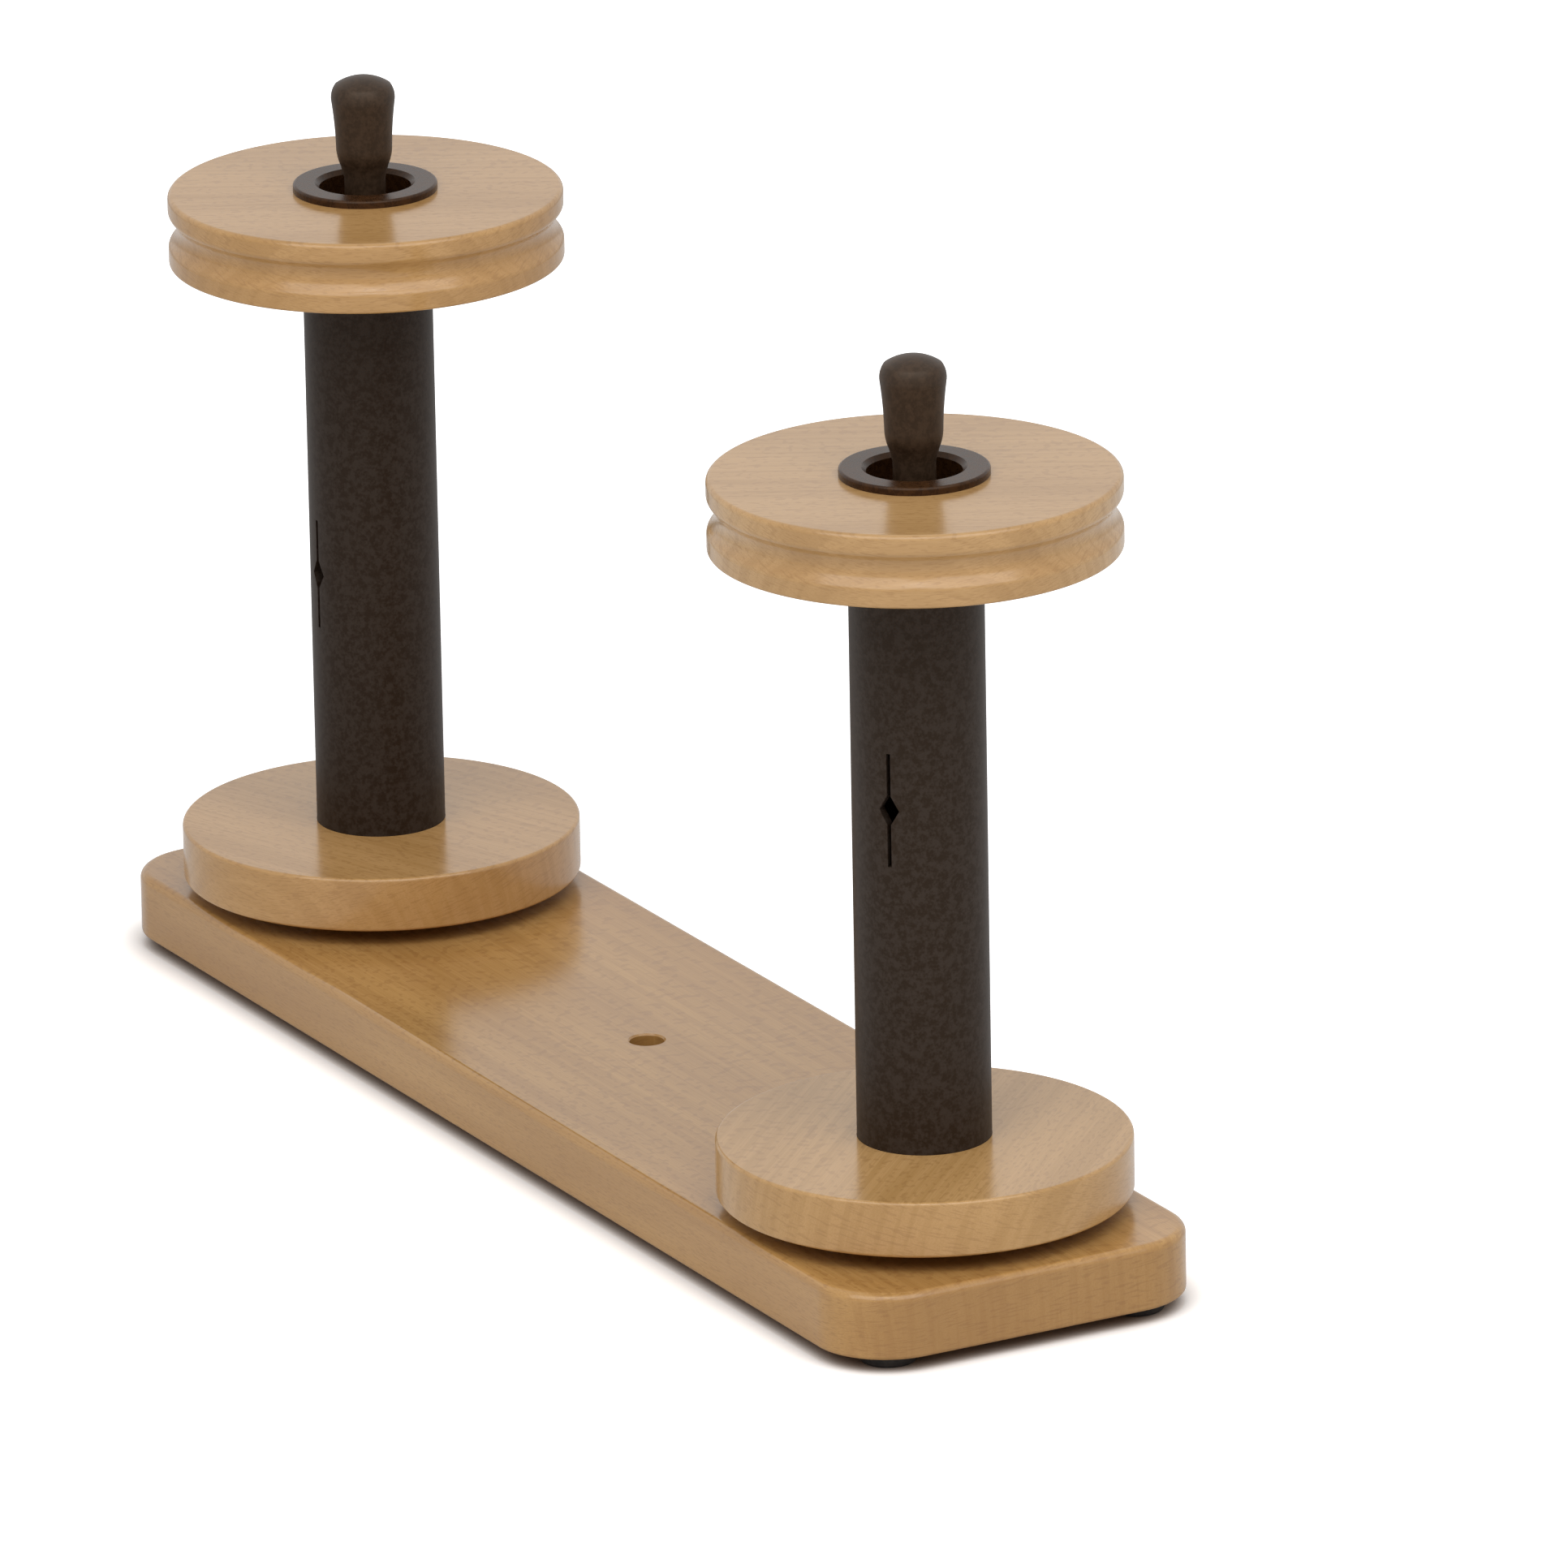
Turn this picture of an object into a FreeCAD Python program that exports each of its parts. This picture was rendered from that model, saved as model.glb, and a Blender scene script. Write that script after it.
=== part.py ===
import FreeCAD, Part
import math
import os

Vector = FreeCAD.Vector

# Lazy kate: a flat beech board that stands two turned bobbins on pull-out
# spindles, with a spare spindle hole between them.
# Millimetres.  +X runs along the board, +Z is up, and Z = 0 is the table.
# X = Y = 0 is the middle of the board.

# ---- board ---------------------------------------------------------------
board_length = 460.0
board_width = 116.0
board_thickness = 19.5
board_corner_radius = 22.5
board_top_round = 2.5
board_bottom_round = 1.2

# ---- stick-on rubber feet ------------------------------------------------
foot_height = 4.0
foot_top_diameter = 18.0
foot_taper = 1.0
foot_edge_round = 0.8
foot_end_inset = 14.0
foot_side_inset = 18.0

# ---- spindles and the holes they stand in --------------------------------
bobbin_end_inset = 63.5
rod_diameter = 10.0
rod_chamfer = 0.6
socket_depth = 14.0
socket_mouth_chamfer = 0.5
running_clearance = 0.08

# ---- knob on top of each rod ---------------------------------------------
knob_rise = 32.4
knob_dome_radius = 8.3
knob_dome_height = 2.6
knob_crown_radius = 9.4
knob_crown_drop = 7.6
knob_shoulder_bulge = 0.5
knob_taper_hollow = 0.2
knob_waist_radius = 8.3
knob_waist_drop = 21.8
knob_tuck_bulge = 0.25
knob_tuck_radius = 7.15
knob_tuck_drop = 27.0
knob_neck_radius = 6.1
knob_neck_drop = 31.0
knob_end_float = 1.0
knob_bore_depth = 22.0

# ---- felt washer under each bobbin ---------------------------------------
felt_thickness = 2.7
felt_outer_diameter = 40.0
felt_hole_clearance = 0.5

# ---- bobbin core tube ----------------------------------------------------
tube_outer_diameter = 38.4
tube_wall = 3.0
winding_length = 174.4
tube_seat_lower = 6.0
tube_seat_upper = 13.0
glue_clearance = 0.05

# ---- leader hole cut through one wall of the tube ------------------------
leader_hole_from_end = 85.4
leader_diamond_width = 6.2
leader_diamond_height = 10.4
leader_slit_width = 1.2
leader_slit_height = 33.4
left_leader_angle = -88.8
right_leader_angle = -55.6

# ---- wooden bobbin ends --------------------------------------------------
lower_flange_diameter = 118.8
lower_flange_thickness = 16.4
lower_flange_round = 1.0
upper_flange_diameter = 117.2
upper_flange_thickness = 21.2
upper_flange_top_round = 1.5
upper_flange_bottom_round = 0.8

# ---- drive groove turned in the upper end --------------------------------
groove_top_drop = 5.9
groove_width = 9.4
groove_depth = 2.4
groove_lip_round = 2.0

# ---- moulded flanged bush in both bobbin ends ----------------------------
bush_flange_diameter = 42.8
bush_flange_thickness = 2.3
bush_flange_round = 0.8
bush_spigot_diameter = 31.0
bush_recess_diameter = 27.2
bush_recess_depth = 9.0
bush_mouth_chamfer = 1.3
bush_web_thickness = 3.0
bush_hub_diameter = 18.0
bush_hub_length = 8.0
bush_rib_count = 6
bush_rib_thickness = 1.6
bush_rib_height = 5.0

# ---- heights and seats worked out from the sizes above -------------------
bobbin_spacing = board_length - 2 * bobbin_end_inset
board_top = foot_height + board_thickness
felt_top = board_top + felt_thickness
lower_flange_bottom = felt_top + bush_flange_thickness
lower_flange_top = lower_flange_bottom + lower_flange_thickness
upper_flange_bottom = lower_flange_top + winding_length
upper_flange_top = upper_flange_bottom + upper_flange_thickness
bush_top = upper_flange_top + bush_flange_thickness
socket_floor = board_top - socket_depth
tube_bottom = lower_flange_top - tube_seat_lower
tube_top = upper_flange_bottom + tube_seat_upper
tube_inner_diameter = tube_outer_diameter - 2 * tube_wall
tube_seat_diameter = tube_outer_diameter + 2 * glue_clearance
bush_seat_diameter = bush_spigot_diameter + 2 * glue_clearance
running_bore_diameter = rod_diameter + 2 * running_clearance
knob_top = bush_top + knob_rise
knob_bottom = bush_top - bush_recess_depth + knob_end_float
rod_top = knob_bottom + knob_bore_depth
overcut = 1.0

AXIS = Vector(0, 0, 1)
SIDES = {"left": -1, "right": 1}
LEADER_ANGLES = {"left": left_leader_angle, "right": right_leader_angle}


def at(radius, height):
    """A point of a turned profile, in the plane Y = 0."""
    return Vector(radius, 0, height)


def bulged(start, end, bulge):
    """An arc step that stands out from its chord by the bulge, away from the axis."""
    chord = end - start
    outward = Vector(-chord.z, 0, chord.x).normalize()
    middle = start + chord * 0.5 + outward * bulge
    return (middle, end)


def turned(start, *steps):
    """Turn a closed profile about Z: a step is a point, or an arc's middle and end."""
    edges = []
    here = start
    for step in steps + (start,):
        if isinstance(step, tuple):
            middle, end = step
            edges.append(Part.Arc(here, middle, end).toShape())
        else:
            end = step
            if here.distanceToPoint(end) > 1e-6:
                edges.append(Part.LineSegment(here, end).toShape())
        here = end
    face = Part.Face(Part.Wire(edges))
    return face.revolve(Vector(0, 0, 0), AXIS, 360)


def disc(diameter, bottom, top):
    """A plain round bar from one height to another."""
    return Part.makeCylinder(diameter / 2, top - bottom, Vector(0, 0, bottom))


def edges_at(shape, height, radius=None):
    """Edges that lie flat at one height, and on one radius where it is given."""
    found = []
    for edge in shape.Edges:
        box = edge.BoundBox
        flat = abs(box.ZMin - height) < 1e-4 and abs(box.ZMax - height) < 1e-4
        reach = max(abs(box.XMax), abs(box.XMin))
        if flat and (radius is None or abs(reach - radius) < 1e-4):
            found.append(edge)
    return found


def spindle_hole(depth, mouth):
    """Flat-bottomed hole for a rod, with a chamfered mouth, to cut from the top."""
    radius = running_bore_diameter / 2
    hole = Part.makeCylinder(radius, depth + overcut, Vector(0, 0, mouth - depth))
    flare = Part.makeCone(
        radius,
        radius + socket_mouth_chamfer + overcut,
        socket_mouth_chamfer + overcut,
        Vector(0, 0, mouth - socket_mouth_chamfer),
    )
    return hole.fuse(flare)


def base_board():
    """Rounded board with two spindle sockets and the spare hole between them."""
    corner = Vector(-board_length / 2, -board_width / 2, foot_height)
    board = Part.makeBox(board_length, board_width, board_thickness, corner)
    uprights = [edge for edge in board.Edges if edge.BoundBox.ZLength > board_thickness / 2]
    board = board.makeFillet(board_corner_radius, uprights)
    board = board.makeFillet(board_bottom_round, edges_at(board, foot_height))
    board = board.makeFillet(board_top_round, edges_at(board, board_top))
    for place in (-bobbin_spacing / 2, 0, bobbin_spacing / 2):
        hole = spindle_hole(socket_depth, board_top)
        hole.translate(Vector(place, 0, 0))
        board = board.cut(hole)
    return board


def rubber_foot(side_x, side_y):
    """Tapered round foot under one corner."""
    top_radius = foot_top_diameter / 2
    foot = Part.makeCone(top_radius - foot_taper, top_radius, foot_height)
    foot = foot.makeFillet(foot_edge_round, edges_at(foot, 0))
    foot.translate(
        Vector(
            side_x * (board_length / 2 - foot_end_inset),
            side_y * (board_width / 2 - foot_side_inset),
            0,
        )
    )
    return foot


def felt_washer():
    """Soft washer that a bobbin stands and turns on."""
    hole_diameter = rod_diameter + 2 * felt_hole_clearance
    ring = disc(felt_outer_diameter, board_top, felt_top)
    return ring.cut(disc(hole_diameter, board_top - overcut, felt_top + overcut))


def spindle_rod():
    """Steel rod with chamfered ends, standing on the floor of its socket."""
    rod = disc(rod_diameter, socket_floor, rod_top)
    rims = edges_at(rod, socket_floor) + edges_at(rod, rod_top)
    return rod.makeChamfer(rod_chamfer, rims)


def spindle_knob():
    """Moulded knob: domed crown, hollow taper, tuck, and neck in the bush recess."""
    bore_radius = rod_diameter / 2 + glue_clearance
    top = at(0, knob_top)
    shoulder = at(knob_dome_radius, knob_top - knob_dome_height)
    crown = at(knob_crown_radius, knob_top - knob_crown_drop)
    waist = at(knob_waist_radius, knob_top - knob_waist_drop)
    tuck = at(knob_tuck_radius, knob_top - knob_tuck_drop)
    neck = at(knob_neck_radius, knob_top - knob_neck_drop)
    dome_chord = math.hypot(knob_dome_radius, knob_dome_height)
    dome_sphere = dome_chord ** 2 / (2 * knob_dome_height)
    dome_bulge = dome_sphere - math.sqrt(dome_sphere ** 2 - (dome_chord / 2) ** 2)
    return turned(
        at(0, rod_top),
        top,
        bulged(top, shoulder, dome_bulge),
        bulged(shoulder, crown, knob_shoulder_bulge),
        bulged(crown, waist, -knob_taper_hollow),
        bulged(waist, tuck, knob_tuck_bulge),
        neck,
        at(knob_neck_radius, knob_bottom),
        at(bore_radius, knob_bottom),
        at(bore_radius, rod_top),
    )


def lower_flange():
    """Plain turned end: tube seat above, bush seat below, both rims eased."""
    flange = disc(lower_flange_diameter, lower_flange_bottom, lower_flange_top)
    rims = edges_at(flange, lower_flange_bottom) + edges_at(flange, lower_flange_top)
    flange = flange.makeFillet(lower_flange_round, rims)
    flange = flange.cut(disc(tube_seat_diameter, tube_bottom, lower_flange_top + overcut))
    return flange.cut(disc(bush_seat_diameter, lower_flange_bottom - overcut, lower_flange_top))


def upper_flange():
    """Turned end with a coved drive groove, the tube seat and the bush seat."""
    radius = upper_flange_diameter / 2
    groove_top = upper_flange_top - groove_top_drop
    groove_bottom = groove_top - groove_width
    groove_middle = at(radius - groove_depth, (groove_top + groove_bottom) / 2)
    flange = turned(
        at(bush_seat_diameter / 2, upper_flange_top),
        at(radius, upper_flange_top),
        at(radius, groove_top),
        (groove_middle, at(radius, groove_bottom)),
        at(radius, upper_flange_bottom),
        at(tube_seat_diameter / 2, upper_flange_bottom),
        at(tube_seat_diameter / 2, tube_top),
        at(bush_seat_diameter / 2, tube_top),
    )
    top_rim = edges_at(flange, upper_flange_top, radius)
    flange = flange.makeFillet(upper_flange_top_round, top_rim)
    bottom_rim = edges_at(flange, upper_flange_bottom, radius)
    flange = flange.makeFillet(upper_flange_bottom_round, bottom_rim)
    lips = edges_at(flange, groove_top, radius) + edges_at(flange, groove_bottom, radius)
    return flange.makeFillet(groove_lip_round, lips)


def leader_cut(height):
    """Diamond with a fine slit above and below, through the wall that faces +X."""
    start = tube_inner_diameter / 2 - overcut
    depth = tube_wall + 2 * overcut
    half_width = leader_diamond_width / 2
    half_height = leader_diamond_height / 2
    diamond = Part.makePolygon(
        [
            Vector(start, -half_width, height),
            Vector(start, 0, height + half_height),
            Vector(start, half_width, height),
            Vector(start, 0, height - half_height),
            Vector(start, -half_width, height),
        ]
    )
    diamond = Part.Face(diamond).extrude(Vector(depth, 0, 0))
    slit = Part.makeBox(
        depth,
        leader_slit_width,
        leader_slit_height,
        Vector(start, -leader_slit_width / 2, height - leader_slit_height / 2),
    )
    return diamond.fuse(slit)


def core_tube(side):
    """Core tube with its leader hole; the right-hand tube is fitted the other way up."""
    tube = disc(tube_outer_diameter, tube_bottom, tube_top)
    tube = tube.cut(disc(tube_inner_diameter, tube_bottom - overcut, tube_top + overcut))
    hole_height = tube_bottom + leader_hole_from_end
    if side == "right":
        hole_height = tube_top - leader_hole_from_end
    cutter = leader_cut(hole_height)
    cutter.rotate(Vector(0, 0, 0), AXIS, LEADER_ANGLES[side])
    return tube.cut(cutter)


def bush_rib(angle):
    """Web that ties a bush's hub to its spigot wall, on the inner side."""
    inner = running_bore_diameter / 2 + (bush_hub_diameter - running_bore_diameter) / 4
    outer = bush_recess_diameter / 2 + (bush_spigot_diameter - bush_recess_diameter) / 4
    top = -bush_recess_depth - bush_web_thickness / 2
    bottom = -bush_recess_depth - bush_web_thickness - bush_rib_height
    rib = Part.makeBox(
        outer - inner,
        bush_rib_thickness,
        top - bottom,
        Vector(inner, -bush_rib_thickness / 2, bottom),
    )
    rib.rotate(Vector(0, 0, 0), AXIS, angle)
    return rib


def flanged_bush():
    """Moulded bush with its outer face at Z = 0: flange, recess, web, hub and ribs."""
    flange_radius = bush_flange_diameter / 2
    spigot_radius = bush_spigot_diameter / 2
    recess_radius = bush_recess_diameter / 2
    hub_radius = bush_hub_diameter / 2
    bore_radius = running_bore_diameter / 2
    web_bottom = -bush_recess_depth - bush_web_thickness
    hub_bottom = web_bottom - bush_hub_length
    skirt_bottom = web_bottom - bush_rib_height
    bush = turned(
        at(recess_radius + bush_mouth_chamfer, 0),
        at(flange_radius, 0),
        at(flange_radius, -bush_flange_thickness),
        at(spigot_radius, -bush_flange_thickness),
        at(spigot_radius, skirt_bottom),
        at(recess_radius, skirt_bottom),
        at(recess_radius, web_bottom),
        at(hub_radius, web_bottom),
        at(hub_radius, hub_bottom),
        at(bore_radius, hub_bottom),
        at(bore_radius, -bush_recess_depth),
        at(recess_radius, -bush_recess_depth),
        at(recess_radius, -bush_mouth_chamfer),
    )
    bush = bush.makeFillet(bush_flange_round, edges_at(bush, 0, flange_radius))
    for index in range(bush_rib_count):
        bush = bush.fuse(bush_rib(360 * index / bush_rib_count))
    return bush.removeSplitter()


def top_bush():
    """Bush in the upper end, its flange on the wood and its recess upwards."""
    bush = flanged_bush()
    bush.translate(Vector(0, 0, bush_top))
    return bush


def bottom_bush():
    """The same bush in the lower end, turned over, standing on the felt washer."""
    bush = flanged_bush()
    bush.rotate(Vector(0, 0, 0), Vector(1, 0, 0), 180)
    bush.translate(Vector(0, 0, felt_top))
    return bush


def bobbin_station(side):
    """Every piece that stands at one end of the board, placed on its own axis."""
    pieces = {
        "felt_washer": felt_washer(),
        "spindle_rod": spindle_rod(),
        "spindle_knob": spindle_knob(),
        "bottom_bush": bottom_bush(),
        "lower_flange": lower_flange(),
        "core_tube": core_tube(side),
        "upper_flange": upper_flange(),
        "top_bush": top_bush(),
    }
    for piece in pieces.values():
        piece.translate(Vector(SIDES[side] * bobbin_spacing / 2, 0, 0))
    return {side + "_" + name: piece for name, piece in pieces.items()}


def build():
    """All nodes of the lazy kate by name."""
    nodes = {"base_board": base_board()}
    for side, side_x in SIDES.items():
        nodes["rubber_foot_" + side + "_front"] = rubber_foot(side_x, -1)
        nodes["rubber_foot_" + side + "_back"] = rubber_foot(side_x, 1)
        nodes.update(bobbin_station(side))
    return nodes


os.makedirs("parts", exist_ok=True)
for node, shape in build().items():
    if len(shape.Solids) != 1 or not shape.isValid():
        raise ValueError(node + " is not one valid solid")
    shape = shape.Solids[0]
    shape.exportStep(os.path.join("parts", node + ".step"))
    print(node, round(shape.Volume / 1000, 2), "cm3")
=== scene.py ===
"""Finished look of a lazy kate: a beech board with two turned bobbins on upright spindles."""

import logging
import math
from collections.abc import Mapping, Sequence
from dataclasses import dataclass, replace
from enum import Enum

import bmesh
import bpy
from bmesh.types import BMEdge, BMesh, BMVert
from bpy.types import Material, Mesh, Node, NodeSocket, NodeTree, Object
from mathutils import Matrix, Vector

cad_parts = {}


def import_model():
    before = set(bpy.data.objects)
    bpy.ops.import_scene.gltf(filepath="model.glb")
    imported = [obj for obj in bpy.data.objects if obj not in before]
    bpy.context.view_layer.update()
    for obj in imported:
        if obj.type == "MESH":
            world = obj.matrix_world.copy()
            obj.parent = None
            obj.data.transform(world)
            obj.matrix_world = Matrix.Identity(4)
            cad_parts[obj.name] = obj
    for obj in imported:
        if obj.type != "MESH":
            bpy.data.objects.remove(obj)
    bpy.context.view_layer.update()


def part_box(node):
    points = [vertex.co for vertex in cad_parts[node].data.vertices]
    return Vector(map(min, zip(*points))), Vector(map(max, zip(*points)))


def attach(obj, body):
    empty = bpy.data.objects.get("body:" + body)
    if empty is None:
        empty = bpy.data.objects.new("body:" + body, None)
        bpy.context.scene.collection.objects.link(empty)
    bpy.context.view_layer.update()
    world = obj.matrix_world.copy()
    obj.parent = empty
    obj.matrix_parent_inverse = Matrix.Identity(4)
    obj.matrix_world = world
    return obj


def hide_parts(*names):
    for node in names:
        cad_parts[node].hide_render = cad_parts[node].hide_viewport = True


log = logging.getLogger("lazy_kate")

MM = 0.001
TURN_STEPS = 192
SMALL_TURN_STEPS = 96
FOOT_TURN_STEPS = 64
ROUND_STEPS = 6
ARC_STEPS = 10
FULL_TURN = 2 * math.pi
SAME_POINT = 1e-7
SMOOTH_LIMIT = math.radians(32)


class Side(Enum):
    """The two ends of the board, each with its own bobbin."""

    LEFT = "left"
    RIGHT = "right"


class BobbinEnd(Enum):
    """The two wooden ends of a bobbin."""

    LOWER = "lower"
    UPPER = "upper"


# ---- colours and nodes


def linear(hex_colour: str) -> tuple[float, float, float, float]:
    """Turn an sRGB hex value into the linear colour that a shader takes.

    Args:
        hex_colour: six hex digits after a hash sign.

    Returns:
        Red, green and blue in linear light, and an alpha of 1.
    """
    digits = hex_colour.lstrip("#")
    shares = [int(digits[start:start + 2], 16) / 255 for start in (0, 2, 4)]
    red, green, blue = (c / 12.92 if c <= 0.04045 else ((c + 0.055) / 1.055) ** 2.4 for c in shares)
    return red, green, blue, 1.0


def put(
    tree: NodeTree,
    kind: str,
    inputs: Mapping[str | int, object] | None = None,
    **settings: object,
) -> Node:
    """Add a node with its settings, its input values and its links.

    Args:
        tree: the node tree that gets the node.
        kind: the node's type, such as ShaderNodeMath.
        inputs: values or output sockets by the input's name or number.
        **settings: the node's own settings.

    Returns:
        The new node.
    """
    node = tree.nodes.new(kind)
    for name, value in settings.items():
        setattr(node, name, value)
    for name, value in (inputs or {}).items():
        if isinstance(value, NodeSocket):
            tree.links.new(value, node.inputs[name])
        else:
            node.inputs[name].default_value = value
    return node


def new_material(name: str) -> tuple[Material, NodeTree]:
    """Make an empty node material.

    Args:
        name: the material's name.

    Returns:
        The material and its node tree.
    """
    material = bpy.data.materials.new(name)
    material.use_nodes = True
    material.node_tree.nodes.clear()
    return material, material.node_tree


# ---- finishes


@dataclass(frozen=True)
class BeechTones:
    """The tones of one piece of beech: no two pieces from the plank are quite alike. The right
    bobbin's lighter tones also carry painted light.
    """

    early_wood: str = "#C19762"
    late_wood: str = "#A0763F"
    flecks: str = "#8A6034"
    end_grain: str = "#AD824F"


@dataclass(frozen=True)
class Figure:
    """One kind of mark in the wood, drawn as noise stretched along the log.

    A mark starts at the low noise value and is full at the high one. A full mark lays on its
    share of a tone.
    """

    length: float
    depth: float
    width: float
    low: float
    high: float
    share: float
    detail: float = 2.0


@dataclass(frozen=True)
class LacqueredBeech:
    """Steamed European beech, planed or turned and sprayed with clear satin lacquer.

    Pale tan wood with faint growth layers, short darker ray flecks and a thin glossy film.
    The pattern is solid, so that the layers, rays and end grain agree on every face.
    """

    name: str
    middle: Vector
    pith_below: float
    tones: BeechTones
    grain_angle: float = 0.0
    pith_across: float = 130 * MM
    clouds: Figure = Figure(150 * MM, 28 * MM, 28 * MM, low=0.3, high=0.7, share=0.35)
    layers: Figure = Figure(
        260 * MM, 2.6 * MM, 40 * MM, low=0.42, high=0.62, share=0.32, detail=3.0
    )
    # Real fibres are finer. They are drawn coarser, so that they show.
    fibres: Figure = Figure(22 * MM, 0.45 * MM, 0.45 * MM, low=0.35, high=0.7, share=0.28)
    flecks: Figure = Figure(
        2.4 * MM, 5 * MM, 0.55 * MM, low=0.58, high=0.68, share=0.25, detail=0.0
    )
    end_grain_share: float = 0.5
    end_grain_from: float = 0.5
    wood_roughness: float = 0.55
    relief: float = 0.05 * MM
    relief_strength: float = 0.06
    film_roughness: float = 0.2
    film_ior: float = 1.5

    def log_coordinates(self, tree: NodeTree) -> NodeSocket:
        """Place each point in its log: along the grain, out from the pith, and round it.

        Args:
            tree: the material's node tree.

        Returns:
            A vector of the three distances in metres.
        """
        place = put(tree, "ShaderNodeTexCoord")
        turned = put(
            tree,
            "ShaderNodeMapping",
            {
                "Vector": place.outputs["Object"],
                "Location": self.middle,
                "Rotation": (0, 0, self.grain_angle),
            },
            vector_type="TEXTURE",
        )
        from_pith = put(
            tree,
            "ShaderNodeVectorMath",
            {0: turned.outputs["Vector"], 1: (0, self.pith_across, self.pith_below)},
            operation="ADD",
        )
        parts = put(tree, "ShaderNodeSeparateXYZ", {"Vector": from_pith.outputs["Vector"]})
        along, across, above = parts.outputs
        section = put(tree, "ShaderNodeCombineXYZ", {"Y": across, "Z": above})
        out = put(tree, "ShaderNodeVectorMath", {0: section.outputs[0]}, operation="LENGTH")
        angle = put(tree, "ShaderNodeMath", {0: above, 1: across}, operation="ARCTAN2")
        reach = math.hypot(self.pith_across, self.pith_below)
        around = put(tree, "ShaderNodeMath", {0: angle.outputs[0], 1: reach}, operation="MULTIPLY")
        log_place = put(
            tree,
            "ShaderNodeCombineXYZ",
            {"X": along, "Y": out.outputs["Value"], "Z": around.outputs[0]},
        )
        return log_place.outputs[0]

    def marks(self, tree: NodeTree, place: NodeSocket, figure: Figure) -> NodeSocket:
        """Draw one kind of mark of the wood's figure.

        Args:
            tree: the material's node tree.
            place: the log coordinates.
            figure: the kind of mark.

        Returns:
            A value from 0 to 1.
        """
        scales = (1 / figure.length, 1 / figure.depth, 1 / figure.width)
        scaled = put(tree, "ShaderNodeVectorMath", {0: place, 1: scales}, operation="MULTIPLY")
        noise = put(
            tree,
            "ShaderNodeTexNoise",
            {"Vector": scaled.outputs["Vector"], "Scale": 1.0, "Detail": figure.detail},
        )
        limits = {"Value": noise.outputs["Fac"], "From Min": figure.low, "From Max": figure.high}
        spread = put(tree, "ShaderNodeMapRange", limits, interpolation_type="SMOOTHSTEP")
        return spread.outputs["Result"]

    def tinted(
        self, tree: NodeTree, under: NodeSocket | tuple, over: str, mask: NodeSocket, most: float
    ) -> NodeSocket:
        """Lay one tone over another where a mask says.

        Args:
            tree: the material's node tree.
            under: the colour below.
            over: the hex value of the tone laid on.
            mask: where it lies, from 0 to 1.
            most: how much of it shows where the mask is 1.

        Returns:
            The mixed colour.
        """
        share = put(tree, "ShaderNodeMath", {0: mask, 1: most}, operation="MULTIPLY")
        mix = put(
            tree,
            "ShaderNodeMix",
            {"Factor": share.outputs[0], "A": under, "B": linear(over)},
            data_type="RGBA",
        )
        return mix.outputs["Result"]

    def end_grain(self, tree: NodeTree) -> NodeSocket:
        """Find where the surface cuts across the fibres.

        Args:
            tree: the material's node tree.

        Returns:
            1 on end grain, 0 on long grain.
        """
        place = put(tree, "ShaderNodeTexCoord")
        fibres = (math.cos(self.grain_angle), math.sin(self.grain_angle), 0)
        along = put(
            tree,
            "ShaderNodeVectorMath",
            {0: place.outputs["Normal"], 1: fibres},
            operation="DOT_PRODUCT",
        )
        size = put(tree, "ShaderNodeMath", {0: along.outputs["Value"]}, operation="ABSOLUTE")
        spread = put(
            tree,
            "ShaderNodeMapRange",
            {"Value": size.outputs[0], "From Min": self.end_grain_from, "From Max": 1.0},
            interpolation_type="SMOOTHSTEP",
        )
        return spread.outputs["Result"]

    def build(self) -> Material:
        """Make the material.

        Returns:
            The finished material.
        """
        material, tree = new_material(self.name)
        place = self.log_coordinates(tree)
        figures = (self.clouds, self.layers, self.fibres, self.flecks)
        clouds, layers, fibres, flecks = (self.marks(tree, place, kind) for kind in figures)
        late = self.tones.late_wood
        colour = linear(self.tones.early_wood)
        for tone, mask, share in (
            (late, clouds, self.clouds.share),
            (self.tones.end_grain, self.end_grain(tree), self.end_grain_share),
            (late, layers, self.layers.share),
            (late, fibres, self.fibres.share),
            (self.tones.flecks, flecks, self.flecks.share),
        ):
            colour = self.tinted(tree, colour, tone, mask, share)
        relief = put(
            tree,
            "ShaderNodeBump",
            {"Height": fibres, "Strength": self.relief_strength, "Distance": self.relief},
        )
        wood = put(
            tree,
            "ShaderNodeBsdfPrincipled",
            {
                "Base Color": colour,
                "Normal": relief.outputs["Normal"],
                "Roughness": self.wood_roughness,
                "Specular IOR Level": 0.0,
                "Coat Weight": 1.0,
                "Coat Roughness": self.film_roughness,
                "Coat IOR": self.film_ior,
            },
        )
        put(tree, "ShaderNodeOutputMaterial", {"Surface": wood.outputs["BSDF"]})
        return material


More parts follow.
